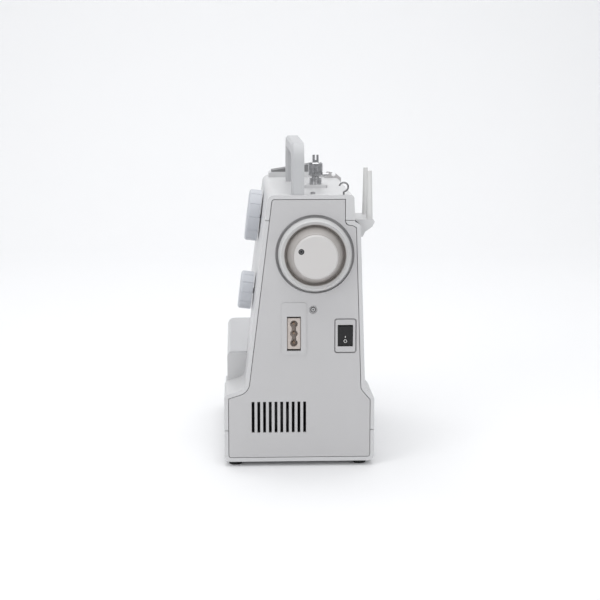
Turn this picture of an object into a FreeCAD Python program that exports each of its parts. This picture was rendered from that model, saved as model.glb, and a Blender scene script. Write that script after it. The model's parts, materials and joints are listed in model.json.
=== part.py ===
import FreeCAD, Part
import math
import os

# Overlock sewing machine. Millimetres, +Z up, +X to the handwheel end, -Y to the operator.
# The origin is on the table, under the middle of the machine.

# Body sizes
body_length = 280.0
wheel_reach = 25.0
base_half = 76.0
foot_height = 5.0
wall = 2.5
floor_thick = 3.0
seam = 0.6
cut_past = 1.0
slot_clear = 1.0
rim = 4.0
base_seam_z = 37.0
top_seam_z = 250.5
shoulder_z = 73.5
toe_rise = 6.5
base_round = 6.6
shoulder_round = 5.0
top_z = 276.0
front_toe_y = -55.3
front_top_y = -31.0
rear_heel_y = 66.5
rear_heel_z = 81.0
rear_base_z = 70.0
rear_top_y = 61.0
step_z = 246.0
step_rise = 3.0
step_in = 5.5
rear_lean = 1.0
edge_round = 4.0
toe_round = 9.0
brow_round = 7.0
plan_round = 12.0
cap_length = 12.0

# Bed and throat sizes
bed_right_x = 57.0
bed_front_y = -73.0
bed_rear_y = 66.0
bed_round = 6.0
bed_top_z = 104.0
cloth_plate_thick = 2.0
throat_right_x = 30.0
head_bottom_z = 146.0
throat_skin = 2.5

# Looper door sizes
door_left_x = -138.0
door_right_x = 46.0
door_bottom_z = 44.0
door_top_z = 98.0
door_gap = 0.8
door_thick = 3.0
door_pin_radius = 1.5
door_pin_length = 6.0
knuckle_radius = 3.0
finger_width = 26.0
finger_height = 7.0
finger_depth = 1.6

# End panel sizes
panel_thick = 3.0
notch_y = 46.0
notch_z = 246.0
notch_round = 5.0
well_radius = 39.5
well_depth = 5.0
well_wall = 2.5
shaft_y = 15.3
shaft_z = 217.0
vent_count = 10
vent_pitch = 5.8
vent_width = 3.0
vent_first_y = -47.0
vent_bottom_z = 35.0
vent_height = 32.0
inlet_y = -5.6
inlet_z = 136.7
inlet_width = 14.0
inlet_height = 35.0
inlet_depth = 16.0
inlet_pad_width = 25.0
inlet_pad_height = 53.0
inlet_pad_rise = 0.8
inlet_pad_lift = 5.0
lobe_radius = 3.8
lobe_pitch = 9.6
lobe_neck = 0.6
lobe_depth = 9.0
contact_radius = 1.2
contact_length = 6.0
switch_y = 46.2
switch_z = 134.2
switch_width = 22.5
switch_height = 35.5
switch_gap = 1.2
switch_round = 3.0
switch_depth = 14.0
switch_set_back = 0.6
rocker_width = 14.4
rocker_height = 19.4
rocker_gap = 0.5
rocker_end_gap = 1.3
rocker_depth = 7.0
rocker_ridge = 1.4
rocker_well = 11.0
rocker_pin_radius = 1.5
rocker_pin_length = 2.0
panel_screw_y = 13.8
panel_screw_z = 161.0
panel_screw_radius = 2.6
panel_screw_recess = 4.2
panel_screw_sink = 1.6
post_radius = 5.0

# Drive sizes
shaft_radius = 5.0
shaft_left_x = -90.0
running_gap = 0.05
press_gap = 0.01
wheel_radius = 36.6
wheel_back_gap = 1.2
wheel_rim_front = 11.0
rim_thick = 6.0
groove_front = 4.0
boss_radius = 23.5
cap_radius = 21.8
cap_thick = 4.5
cone_radius = 29.4
wheel_screw_radius = 2.9
wheel_screw_offset_y = -14.5
wheel_screw_offset_z = 5.5
wheel_screw_length = 3.0
wheel_screw_sink = 0.6
plate_x = 70.0
plate_thick = 8.0
plate_half_low = 60.0
plate_half_high = 36.0
plate_top_z = 246.0
bush_radius = 8.0
bush_flange_radius = 11.0
bush_flange_thick = 2.0
pulley_x = 86.0
pulley_width = 12.0
pulley_flange = 1.5
drive_pulley_radius = 28.0
motor_pulley_radius = 10.0
motor_y = -22.0
motor_z = 46.0
motor_radius = 28.0
motor_length = 62.0
motor_shaft_radius = 3.0
motor_boss_radius = 9.0
motor_boss_length = 6.0
belt_thick = 2.0
belt_gap = 0.4
belt_width = 8.0
crank_radius = 18.0
crank_thick = 6.0
crank_throw = 12.0
crank_pin_radius = 3.0
crank_pin_length = 6.0

# Sewing head sizes
needle_x = -108.0
needle_y = 15.3
needle_bar_radius = 3.6
needle_bar_rise = 4.0
needle_bar_top_z = 264.0
needle_clamp_radius = 5.0
needle_clamp_height = 10.0
needle_radius = 0.9
needle_tip_z = 117.0
needle_stroke = 24.0
stud_z = 194.0
stud_collar_radius = 6.5
stud_collar_height = 12.0
stud_radius = 2.5
stud_length = 4.0
presser_y = 36.0
presser_bar_radius = 4.0
presser_bar_top_z = 256.0
presser_lift = 6.0
foot_gap = 0.4
foot_sole = 3.0
foot_left_x = -119.0
foot_right_x = -99.0
foot_front_y = -8.0
foot_rear_y = 33.0
foot_shank_drop = 12.0
needle_slot_width = 5.0
arm_top_z = 248.0
arm_bottom_z = 238.0
arm_left_x = -132.0
arm_front_y = 0.0
arm_rear_y = 46.0
arm_web = 6.0
arm_foot_rise = 6.0
arm_foot_thick = 8.0
lug_x = -80.0
guide_radius = 6.5
lifter_x = -60.0
lifter_z = 176.0
lifter_hub_radius = 9.0
lifter_thick = 5.0
lifter_length = 54.0
lifter_tip_radius = 7.0
lifter_gap = 1.0
lifter_pin_radius = 3.0

# Needle plate, feed and knife sizes
needle_plate_left_x = -128.0
needle_plate_right_x = -97.5
needle_plate_front_y = -16.0
needle_plate_rear_y = 52.0
plate_gap = 0.4
feed_x = -109.0
feed_width = 14.0
feed_rear_y = 46.0
feed_front_y = 22.0
feed_travel = 2.0
feed_clear = 0.6
feed_depth = 8.0
feed_row_width = 4.0
feed_tooth_pitch = 3.0
feed_tooth_height = 0.6
feed_bar_half = 4.0
feed_bar_rear_y = 60.5
feed_guide_front_y = 52.5
feed_guide_rear_y = 59.5
feed_guide_half = 14.0
knife_thick = 2.0
knife_gap = 0.3
knife_front_y = 4.0
knife_rear_y = 20.0
lower_knife_depth = 4.0
upper_knife_lift = 5.0
upper_knife_height = 10.0
upper_knife_travel = 4.0
knife_arm_x = -72.0
knife_arm_half = 4.0
knife_arm_depth = 40.0
knife_guide_wall = 5.0
knife_guide_top_z = 84.0

# Looper sizes
looper_bracket_front_y = 27.0
looper_bracket_thick = 6.0
looper_bracket_left_x = -128.0
looper_bracket_right_x = -82.0
looper_bracket_top_z = 84.0
looper_hub_radius = 6.0
looper_thick = 3.0
looper_pin_radius = 2.5
looper_tip_rise = 28.0
lower_looper_x = -92.0
lower_looper_z = 70.0
lower_looper_y = 9.0
upper_looper_x = -116.0
upper_looper_z = 62.0
upper_looper_y = 2.0
looper_beak = 16.0

# Front dial sizes
needle_dial_x = -38.0
needle_dial_z = 239.0
needle_dial_radius = 28.0
looper_dial_x = 42.0
looper_dial_z = 168.0
looper_dial_radius = 19.8
dial_height = 13.5
dial_gap = 1.8
dial_flute_count = 12
dial_flute_radius = 1.2
dial_post_radius = 3.0
dial_post_depth = 20.0
post_flange_radius = 9.0

# Handle sizes
handle_end_gap = 1.5
handle_length = 186.0
handle_y = -1.4
handle_width = 12.6
handle_rise = 51.0
handle_grip = 13.0
handle_leg = 13.0
handle_corner = 18.0
handle_inner_corner = 8.0
handle_bevel = 4.5

# Thread path sizes
pin_pitch = 47.0
pin_end_gap = 19.5
pin_y = 71.2
pin_base_radius = 3.4
pin_tip_radius = 2.2
pin_height = 48.2
shelf_end_gap = 11.5
shelf_length = 66.0
shelf_rear_y = 76.0
shelf_top_z = 250.5
shelf_foot_z = 233.0
guide_post_x = 30.0
guide_post_y = 21.0
guide_pad_height = 3.0
guide_pad_half = 12.0
guide_base_radius = 6.5
guide_base_height = 7.0
guide_cup_radius = 7.6
guide_cup_height = 14.5
guide_waist_radius = 4.0
guide_waist_height = 1.6
guide_tip_radius = 3.4
guide_tip_height = 8.0
guide_slot_width = 1.6
guide_arm_length = 14.0
guide_arm_radius = 1.5
guide_arm_z = 10.5
hook_end_gap = 4.5
hook_y = 42.0
hook_stem = 3.2
hook_ring_radius = 4.4
hook_wire_radius = 0.9
hook_sweep = 255.0
clip_end_gap = 13.5
clip_y = 14.0
clip_radius = 2.4
clip_height = 1.8
eyelet_end_gap = 52.5
eyelet_thick = 3.0
eyelet_low_z = 256.0
eyelet_high_z = 284.0
eyelet_front_y = 38.0
eyelet_rear_y = 54.4
eyelet_hole_radius = 2.4
wedge_length = 28.5
wedge_front_y = -28.0
wedge_rear_y = 24.0
wedge_rise = 9.0
plinth_rise = 6.0
plinth_margin = 3.0
wedge_toe = 1.5

# Rubber foot sizes
foot_radius = 7.4
foot_taper = 1.2
foot_front_row_y = -65.0
foot_rear_row_y = 62.0
foot_inset_x = 14.0

# Placed values
x_right = (body_length - wheel_reach) / 2
x_left = x_right - body_length
x_cap = x_left + cap_length
cloth_top_z = bed_top_z + cloth_plate_thick
floor_z = foot_height + floor_thick
toe_z = shoulder_z + toe_rise
front_slope = (front_top_y - front_toe_y) / (top_z - toe_z)
front_tilt = math.degrees(math.atan(front_slope))
handle_right_x = x_right - handle_end_gap
pin_first_x = x_right - pin_end_gap
shelf_right_x = x_right - shelf_end_gap
shelf_left_x = shelf_right_x - shelf_length
hook_x = x_right - hook_end_gap
clip_x = x_right - clip_end_gap
eyelet_x = x_left + eyelet_end_gap
wedge_right_x = x_cap + wedge_length
arm_foot_z = head_bottom_z + arm_foot_rise
foot_shank_top_z = head_bottom_z - foot_shank_drop
needle_bar_bottom_z = head_bottom_z + needle_bar_rise


def vec(x, y, z):
    return FreeCAD.Vector(x, y, z)


def on_x(x):
    return lambda p: vec(x, p.x, p.y)


def on_y(y):
    return lambda p: vec(p.x, y, p.y)


def on_z(z):
    return lambda p: vec(p.x, p.y, z)


def outline(corners, place):
    """Closed wire through (u, v, radius) corners, each rounded by its own radius."""
    count = len(corners)
    cuts = []
    for i, (u, v, r) in enumerate(corners):
        here = vec(u, v, 0)
        back = (vec(corners[i - 1][0], corners[i - 1][1], 0) - here).normalize()
        ahead = (vec(corners[(i + 1) % count][0], corners[(i + 1) % count][1], 0) - here).normalize()
        if r <= 0:
            cuts.append((here, None, here))
            continue
        half = back.getAngle(ahead) / 2
        reach = r / math.tan(half)
        middle = here + (back + ahead).normalize() * (r / math.sin(half) - r)
        cuts.append((here + back * reach, middle, here + ahead * reach))
    edges = []
    for i, (start, middle, end) in enumerate(cuts):
        if middle is not None:
            edges.append(Part.Arc(place(start), place(middle), place(end)).toShape())
        following = cuts[(i + 1) % count][0]
        if end.distanceToPoint(following) > 1e-6:
            edges.append(Part.makeLine(place(end), place(following)))
    return Part.Wire(edges)


def inset(corners, depth):
    """The same corners moved inside by depth, with radii that stay concentric."""
    count = len(corners)
    area = sum(corners[i - 1][0] * c[1] - c[0] * corners[i - 1][1] for i, c in enumerate(corners))
    turn = math.copysign(1, area)
    moved = []
    for i, (u, v, r) in enumerate(corners):
        into = vec(u - corners[i - 1][0], v - corners[i - 1][1], 0).normalize()
        away = vec(corners[(i + 1) % count][0] - u, corners[(i + 1) % count][1] - v, 0).normalize()
        first = vec(-into.y, into.x, 0) * turn
        second = vec(-away.y, away.x, 0) * turn
        shift = (first + second) * (depth / (1 + first.dot(second)))
        convex = into.cross(away).z * turn > 0
        radius = max(r - depth, 0) if convex else r + depth
        moved.append((u + shift.x, v + shift.y, radius))
    return moved


def slab_x(corners, x0, x1):
    return Part.Face(outline(corners, on_x(x0))).extrude(vec(x1 - x0, 0, 0))


def slab_y(corners, y0, y1):
    return Part.Face(outline(corners, on_y(y0))).extrude(vec(0, y1 - y0, 0))


def slab_z(corners, z0, z1):
    return Part.Face(outline(corners, on_z(z0))).extrude(vec(0, 0, z1 - z0))


def block(x0, x1, y0, y1, z0, z1):
    return Part.makeBox(x1 - x0, y1 - y0, z1 - z0, vec(x0, y0, z0))


def rectangle(u, v, width, height, r=0):
    w = width / 2
    h = height / 2
    return [(u - w, v - h, r), (u + w, v - h, r), (u + w, v + h, r), (u - w, v + h, r)]


def bar_x(r, x0, x1, y, z):
    return Part.makeCylinder(r, x1 - x0, vec(x0, y, z), vec(1, 0, 0))


def bar_y(r, y0, y1, x, z):
    return Part.makeCylinder(r, y1 - y0, vec(x, y0, z), vec(0, 1, 0))


def bar_z(r, z0, z1, x, y):
    return Part.makeCylinder(r, z1 - z0, vec(x, y, z0), vec(0, 0, 1))


def front_y(z):
    """Outer front face of the column at a height."""
    return front_toe_y + front_slope * (z - toe_z)


def rear_y(z):
    """Outer rear face of the column at a height."""
    return rear_heel_y + (rear_top_y - rear_heel_y) * (z - rear_heel_z) / (step_z - rear_heel_z)


def save(name, shape):
    shape.exportStep("parts/" + name + ".step")


# Outer section of the housing, seen from the handwheel end
housing_corners = [
    (-base_half, foot_height, base_round),
    (-base_half, shoulder_z, shoulder_round),
    (front_toe_y, toe_z, toe_round),
    (front_top_y, top_z, brow_round),
    (rear_top_y - step_in - rear_lean, top_z, edge_round),
    (rear_top_y - step_in, step_z + step_rise, 0),
    (rear_top_y, step_z, 0),
    (rear_heel_y, rear_heel_z, edge_round),
    (base_half, rear_base_z, shoulder_round),
    (base_half, foot_height, base_round),
]
plan_corners = [
    (x_left, -base_half, plan_round),
    (x_right, -base_half, 0),
    (x_right, base_half, 0),
    (x_left, base_half, plan_round),
]
bed_corners = [
    (x_left, bed_front_y, plan_round),
    (bed_right_x, bed_front_y, 0),
    (bed_right_x, bed_rear_y, 0),
    (x_left, bed_rear_y, plan_round),
]
far = 2 * body_length
bed_section = [
    (bed_front_y, 0, 0),
    (bed_front_y, cloth_top_z, bed_round),
    (bed_rear_y, cloth_top_z, edge_round),
    (bed_rear_y, 0, 0),
]


def end_panel(margin, x0, x1):
    """The end panel's shape, drawn in by a margin from its opening in the housing."""
    panel = slab_x(inset(housing_corners, rim + margin), x0, x1)
    notch = [
        (notch_y - margin, notch_z - margin, notch_round),
        (far, notch_z - margin, 0),
        (far, far, 0),
        (notch_y - margin, far, 0),
    ]
    return panel.cut(slab_x(notch, x0 - cut_past, x1 + cut_past))


def housing_shell():
    outer = slab_x(housing_corners, x_cap, x_right)
    hollow = slab_x(inset(housing_corners, wall), x_cap - cut_past, x_right - panel_thick)
    return outer.cut(hollow).cut(end_panel(0, x_right - 2 * panel_thick, x_right + cut_past))


def bed_clearance():
    """Room that the covers leave for the bed and the open throat."""
    bed = block(-far, bed_right_x, -far, far, 0, cloth_top_z)
    throat = block(-far, throat_right_x, -far, far, 0, head_bottom_z)
    return bed.fuse(throat)


# Covers
os.makedirs("parts", exist_ok=True)
shell = housing_shell()
split_y = shaft_y


def cover_between(y0, y1):
    zone = block(-far, far, y0, y1, base_seam_z + seam, top_seam_z)
    cheek = slab_x(housing_corners, bed_right_x, bed_right_x + wall)
    cheek = cheek.common(block(-far, far, y0, y1, base_seam_z + seam, bed_top_z))
    cheek = cheek.cut(block(-far, far, bed_front_y + 2 * wall, bed_rear_y - 2 * wall, 0, far))
    return shell.common(zone).cut(bed_clearance()).fuse(cheek)


front_cover = cover_between(-far, split_y)
rear_cover = cover_between(split_y, far)
top_cover = shell.common(block(-far, far, -far, far, top_seam_z + seam, far))
plinth_z = top_z + plinth_rise
plinth_corners = [
    (wedge_front_y + plinth_margin, top_z, 0),
    (wedge_front_y + plinth_margin, plinth_z, plinth_margin),
    (wedge_rear_y + wedge_rise + plinth_margin, plinth_z, plinth_margin),
    (wedge_rear_y + wedge_rise + 3 * plinth_margin, top_z, 0),
]
top_cover = top_cover.fuse(slab_x(plinth_corners, x_cap, wedge_right_x + plinth_margin)).removeSplitter()


def dial_frame(x, z):
    """Point on the front face and the direction straight out of it."""
    out = vec(0, -math.cos(math.radians(front_tilt)), math.sin(math.radians(front_tilt)))
    return vec(x, front_y(z), z), out


def tension_dial(x, z, radius):
    base, out = dial_frame(x, z)
    start = base + out * dial_gap
    knob = Part.makeCylinder(radius, dial_height, start, out)
    knob = knob.makeFillet(wall, [knob.Edges[0]])
    side = vec(1, 0, 0)
    up = out.cross(side)
    for i in range(dial_flute_count):
        turn = 2 * math.pi * i / dial_flute_count
        spot = start + (side * math.cos(turn) + up * math.sin(turn)) * (radius + dial_flute_radius / 2)
        knob = knob.cut(Part.makeCylinder(dial_flute_radius, far, spot - out * radius, out))
    bore = Part.makeCylinder(dial_post_radius + running_gap, dial_height - wall, start, out)
    return knob.cut(bore)


def tension_post(x, z):
    base, out = dial_frame(x, z)
    start = base - out * dial_post_depth
    length = dial_post_depth + dial_gap + dial_height - 2 * wall
    post = Part.makeCylinder(dial_post_radius, length, start, out)
    flange = Part.makeCylinder(post_flange_radius, wall, base - out * 2 * wall, out)
    return post.fuse(flange)


def dial_hole(x, z):
    base, out = dial_frame(x, z)
    return Part.makeCylinder(dial_post_radius + running_gap, 4 * wall, base - out * 2 * wall, out)


dials = [(needle_dial_x, needle_dial_z), (looper_dial_x, looper_dial_z)]
for dial_x, dial_z in dials:
    front_cover = front_cover.cut(dial_hole(dial_x, dial_z))
lifter_hole = bar_y(lifter_pin_radius + running_gap, split_y, far, lifter_x, lifter_z)
rear_cover = rear_cover.cut(lifter_hole)
save("front_cover", front_cover)
save("rear_cover", rear_cover)
save("top_cover", top_cover)
save("needle_tension_dial", tension_dial(needle_dial_x, needle_dial_z, needle_dial_radius))
save("looper_tension_dial", tension_dial(looper_dial_x, looper_dial_z, looper_dial_radius))
save("tension_posts", Part.makeCompound([tension_post(x, z) for x, z in dials]))


def base_pan():
    outer = slab_z(plan_corners, foot_height, base_seam_z)
    outer = outer.common(slab_x(housing_corners, x_left, x_right))
    hollow = slab_z(inset(plan_corners, wall), floor_z, base_seam_z + cut_past)
    hollow = hollow.common(block(-far, x_right - panel_thick, -far, far, 0, far))
    deck = slab_z(inset(plan_corners, wall / 2), base_seam_z - wall, base_seam_z)
    deck = deck.common(block(-far, bed_right_x, -far, far, 0, far))
    deck = deck.cut(slab_z(inset(bed_corners, 2 * wall), 0, far))
    deck = deck.cut(block(0, far, bed_front_y + 2 * wall, bed_rear_y - 2 * wall, 0, far))
    pan = outer.cut(hollow).cut(end_panel(0, x_right - 2 * panel_thick, x_right + cut_past))
    return pan.fuse(deck)


save("base_pan", base_pan())


def bed_shell():
    outer = slab_z(bed_corners, base_seam_z + seam, bed_top_z)
    outer = outer.common(slab_x(bed_section, x_left, bed_right_x))
    hollow = slab_z(inset(bed_corners, wall), base_seam_z, bed_top_z + cut_past)
    passage = block(bed_right_x - 2 * wall, bed_right_x + cut_past, front_y(bed_top_z),
                    rear_heel_y - 2 * wall, 0, far)
    door = block(door_left_x, door_right_x, -far, bed_front_y + 2 * wall, door_bottom_z, door_top_z)
    ledge = block(door_left_x, door_right_x, bed_front_y, bed_front_y + 2 * wall,
                  door_bottom_z - 2 * knuckle_radius, door_bottom_z)
    shell_bed = outer.cut(hollow).cut(passage).cut(door)
    parts = [ledge]
    for x0, x1 in [(door_left_x - door_pin_length, door_left_x), (door_right_x,
                                                                  door_right_x + door_pin_length)]:
        parts.append(block(x0, x1, bed_front_y, bed_front_y + 2 * wall, door_bottom_z - 2 * knuckle_radius,
                           door_axis_z() + knuckle_radius))
    return shell_bed.fuse(parts).removeSplitter().cut(bed_pin_holes())


def door_axis_y():
    return bed_front_y + knuckle_radius


def door_axis_z():
    return door_bottom_z + knuckle_radius + door_gap


def bed_pin_holes():
    return bar_x(door_pin_radius + running_gap, door_left_x - door_pin_length / 2,
                 door_right_x + door_pin_length / 2,
                 door_axis_y(), door_axis_z())


def looper_cover():
    left = door_left_x + door_gap
    right = door_right_x - door_gap
    low = door_axis_z()
    panel = block(left, right, bed_front_y, bed_front_y + door_thick, low, door_top_z - door_gap)
    roll = bar_x(knuckle_radius, left, right, door_axis_y(), low)
    grip = slab_y(rectangle((left + right) / 2, door_top_z - 2 * finger_height, finger_width, finger_height,
                            finger_height / 3), bed_front_y - cut_past, bed_front_y + finger_depth)
    bore = bar_x(door_pin_radius, left, right, door_axis_y(), low)
    return panel.fuse(roll).cut(grip).cut(bore)


def door_pin():
    return bar_x(door_pin_radius - press_gap, door_left_x - door_pin_length / 2,
                 door_right_x + door_pin_length / 2,
                 door_axis_y(), door_axis_z())


save("bed_shell", bed_shell())
save("looper_cover", looper_cover())
save("looper_cover_pin", door_pin())


def left_end_cap():
    corners = [
        (front_y(head_bottom_z), head_bottom_z, 0),
        (front_top_y, top_z, brow_round),
        (rear_top_y - step_in - rear_lean, top_z, edge_round),
        (rear_top_y - step_in, step_z + step_rise, 0),
        (rear_top_y, step_z, 0),
        (rear_y(head_bottom_z), head_bottom_z, 0),
    ]
    cap = slab_x(corners, x_left, x_cap - seam)
    end_edges = [e for e in cap.Edges if e.BoundBox.XMax < x_left + wall / 2]
    rounded = [e for e in end_edges if e.BoundBox.ZMax > head_bottom_z + wall]
    cap = cap.makeChamfer(edge_round, rounded)
    hollow = slab_x(inset(corners, 2 * wall), x_left + 2 * wall, x_cap)
    return cap.cut(hollow)


save("left_end_cap", left_end_cap())


def throat_cover():
    section = slab_x(housing_corners, x_left, throat_right_x - seam)
    ceiling = block(x_left, throat_right_x - seam, -far, far, head_bottom_z - throat_skin, head_bottom_z)
    cheek = block(throat_right_x - seam - throat_skin, throat_right_x - seam, -far, far, cloth_top_z,
                  head_bottom_z)
    skin = section.common(ceiling.fuse(cheek))
    needle_hole = bar_z(needle_clamp_radius + slot_clear, 0, far, needle_x, needle_y)
    presser_hole = bar_z(presser_bar_radius + slot_clear, 0, far, needle_x, presser_y)
    return skin.cut(needle_hole).cut(presser_hole)


save("throat_cover", throat_cover())


def cloth_plate():
    plate = slab_z(bed_corners, bed_top_z, cloth_top_z).common(slab_x(bed_section, x_left, bed_right_x))
    window = block(needle_plate_left_x - plate_gap, needle_plate_right_x + knife_thick + 2 * knife_thick,
                   needle_plate_front_y - plate_gap, needle_plate_rear_y + plate_gap, 0, far)
    arm_slot = block(knife_arm_x - knife_arm_half - slot_clear, knife_arm_x + knife_arm_half + slot_clear,
                     knife_front_y - slot_clear, knife_rear_y + slot_clear, 0, far)
    return plate.cut(window).cut(arm_slot)


def needle_plate():
    plate = block(needle_plate_left_x, needle_plate_right_x, needle_plate_front_y, needle_plate_rear_y,
                  bed_top_z, cloth_top_z)
    ears = block(needle_plate_left_x - 2 * wall, needle_plate_left_x, needle_plate_front_y,
                 needle_plate_rear_y,
                 bed_top_z - cloth_plate_thick, bed_top_z)
    tail = block(needle_plate_left_x, needle_plate_right_x, needle_plate_rear_y,
                 needle_plate_rear_y + 2 * wall,
                 bed_top_z - cloth_plate_thick, bed_top_z)
    corner = block(needle_plate_left_x, needle_plate_left_x + wall, needle_plate_front_y,
                   needle_plate_rear_y,
                   bed_top_z - cloth_plate_thick, bed_top_z)
    back = block(needle_plate_left_x, needle_plate_right_x, needle_plate_rear_y - wall, needle_plate_rear_y,
                 bed_top_z - cloth_plate_thick, bed_top_z)
    plate = plate.fuse([ears, corner, tail, back])
    slot = block(needle_x - needle_slot_width / 2, needle_x + needle_slot_width / 2,
                 needle_y - needle_slot_width,
                 needle_y + needle_slot_width / 2, 0, far)
    for row in feed_rows():
        plate = plate.cut(block(row - feed_clear, row + feed_row_width + feed_clear,
                                feed_front_y - feed_travel - feed_clear,
                                feed_rear_y + feed_travel + feed_clear, 0, far))
    return plate.cut(slot)


def feed_rows():
    return [feed_x - feed_width / 2, feed_x + feed_width / 2 - feed_row_width]


def feed_dog():
    low = bed_top_z - cloth_plate_thick - feed_clear
    dog = block(feed_x - feed_width / 2, feed_x + feed_width / 2, feed_front_y, feed_rear_y,
                low - feed_depth, low)
    for row in feed_rows():
        dog = dog.fuse(block(row, row + feed_row_width, feed_front_y, feed_rear_y, low, cloth_top_z))
        for i in range(int((feed_rear_y - feed_front_y) / feed_tooth_pitch)):
            y = feed_front_y + i * feed_tooth_pitch
            tooth = Part.makePolygon([vec(row, y, cloth_top_z), vec(row, y + feed_tooth_pitch, cloth_top_z),
                                      vec(row, y + feed_tooth_pitch, cloth_top_z - feed_tooth_height),
                                      vec(row, y, cloth_top_z)])
            dog = dog.cut(Part.Face(tooth).extrude(vec(feed_row_width, 0, 0)))
    bar_top = feed_bar_top()
    bar = block(feed_x - feed_bar_half, feed_x + feed_bar_half, feed_front_y, feed_bar_rear_y,
                bar_top - 2 * feed_bar_half, bar_top)
    return dog.fuse(bar)


def feed_bar_top():
    return bed_top_z - cloth_plate_thick - feed_clear - feed_depth


def feed_guide():
    top = feed_bar_top()
    guide = block(feed_x - feed_guide_half, feed_x + feed_guide_half, feed_guide_front_y, feed_guide_rear_y,
                  floor_z, top + feed_bar_half)
    hole = block(feed_x - feed_bar_half - running_gap, feed_x + feed_bar_half + running_gap, 0, far,
                 top - 2 * feed_bar_half - running_gap, top + running_gap)
    return guide.cut(hole)


save("cloth_plate", cloth_plate())
save("needle_plate", needle_plate())
save("feed_dog", feed_dog())
save("feed_guide", feed_guide())

# Knives
lower_knife_x = needle_plate_right_x + knife_gap
upper_knife_x = lower_knife_x + knife_thick + knife_gap
knife_carrier_x = upper_knife_x + knife_thick + knife_gap


def lower_knife():
    blade = block(lower_knife_x, lower_knife_x + knife_thick, knife_front_y, knife_rear_y,
                  cloth_top_z - lower_knife_depth, cloth_top_z)
    foot = block(lower_knife_x, lower_knife_x + knife_thick, knife_rear_y, looper_bracket_front_y,
                 looper_bracket_top_z - lower_knife_depth, cloth_top_z - lower_knife_depth / 2)
    return blade.fuse(foot)


def upper_knife():
    low = cloth_top_z + upper_knife_lift
    corners = [(knife_front_y, low + knife_thick, 0), (knife_rear_y, low, 0),
               (knife_rear_y, low + upper_knife_height, 0), (knife_front_y, low + upper_knife_height, 0)]
    return slab_x(corners, upper_knife_x, upper_knife_x + knife_thick)


def knife_arm():
    low = cloth_top_z + upper_knife_lift + knife_thick
    top = cloth_top_z + upper_knife_lift + upper_knife_height
    reach = block(upper_knife_x + knife_thick, knife_arm_x + knife_arm_half, knife_front_y, knife_rear_y,
                  low, top)
    drop = block(knife_arm_x - knife_arm_half, knife_arm_x + knife_arm_half, knife_front_y, knife_rear_y,
                 bed_top_z - knife_arm_depth, low)
    return reach.fuse(drop)


def knife_guide():
    outer = block(knife_arm_x - knife_arm_half - knife_guide_wall,
                  knife_arm_x + knife_arm_half + knife_guide_wall,
                  knife_front_y - knife_guide_wall, knife_rear_y + knife_guide_wall, floor_z,
                  knife_guide_top_z)
    slot = block(knife_arm_x - knife_arm_half - running_gap, knife_arm_x + knife_arm_half + running_gap,
                 knife_front_y - running_gap, knife_rear_y + running_gap,
                 bed_top_z - knife_arm_depth - 2 * upper_knife_travel, far)
    return outer.cut(slot)


save("lower_knife", lower_knife())
save("upper_knife", upper_knife())
save("knife_arm", knife_arm())
save("knife_guide", knife_guide())


# Loopers
def looper(x, z, y, side):
    hub = bar_y(looper_hub_radius, y, y + 2 * looper_thick, x, z)
    tip = z + looper_tip_rise
    arm = [
        (x - looper_hub_radius, z, 0),
        (x + looper_hub_radius, z, 0),
        (x + looper_thick, tip - looper_thick, 0),
        (x + side * looper_beak, tip - looper_thick / 2, 0),
        (x - looper_thick, tip + looper_thick, 0),
    ]
    if side < 0:
        arm = [
            (x - looper_hub_radius, z, 0),
            (x + looper_hub_radius, z, 0),
            (x + looper_thick, tip + looper_thick, 0),
            (x - looper_beak, tip - looper_thick / 2, 0),
            (x - looper_thick, tip - looper_thick, 0),
        ]
    blade = slab_y(arm, y, y + looper_thick)
    return hub.fuse(blade).cut(bar_y(looper_pin_radius + running_gap, y - cut_past, far, x, z))


def looper_bracket():
    plate = block(looper_bracket_left_x, looper_bracket_right_x, looper_bracket_front_y,
                  looper_bracket_front_y + looper_bracket_thick, floor_z, looper_bracket_top_z)
    for x, z in [(lower_looper_x, lower_looper_z), (upper_looper_x, upper_looper_z)]:
        plate = plate.cut(bar_y(looper_pin_radius + press_gap, 0, far, x, z))
    return plate


def looper_pins():
    end = looper_bracket_front_y + looper_bracket_thick
    pins = []
    for x, z, y in [(lower_looper_x, lower_looper_z, lower_looper_y), (upper_looper_x, upper_looper_z,
                                                                       upper_looper_y)]:
        pins.append(bar_y(looper_pin_radius, y - looper_thick, end, x, z))
    return Part.makeCompound(pins)


save("lower_looper", looper(lower_looper_x, lower_looper_z, lower_looper_y, -1))
save("upper_looper", looper(upper_looper_x, upper_looper_z, upper_looper_y, 1))
save("looper_bracket", looper_bracket())
save("looper_pins", looper_pins())


# Needle bar and presser bar
def needle_bar():
    bar = bar_z(needle_bar_radius, needle_bar_bottom_z, needle_bar_top_z, needle_x, needle_y)
    collar = bar_z(stud_collar_radius, stud_z - stud_collar_height / 2, stud_z + stud_collar_height / 2,
                   needle_x, needle_y)
    stud = bar_x(stud_radius, needle_x, needle_x + stud_collar_radius + stud_length, needle_y, stud_z)
    clamp = bar_z(needle_clamp_radius, needle_bar_bottom_z - needle_clamp_height, needle_bar_bottom_z,
                  needle_x, needle_y)
    return bar.fuse([collar, stud, clamp])


def needle():
    top = needle_bar_bottom_z - needle_clamp_height
    point = 4 * needle_radius
    shank = bar_z(needle_radius, needle_tip_z + point, top, needle_x, needle_y)
    tip = Part.makeCone(needle_radius / 4, needle_radius, point, vec(needle_x, needle_y, needle_tip_z))
    return shank.fuse(tip)


def presser_bar():
    return bar_z(presser_bar_radius, foot_shank_top_z - 2 * wall, presser_bar_top_z, needle_x, presser_y)


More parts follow.
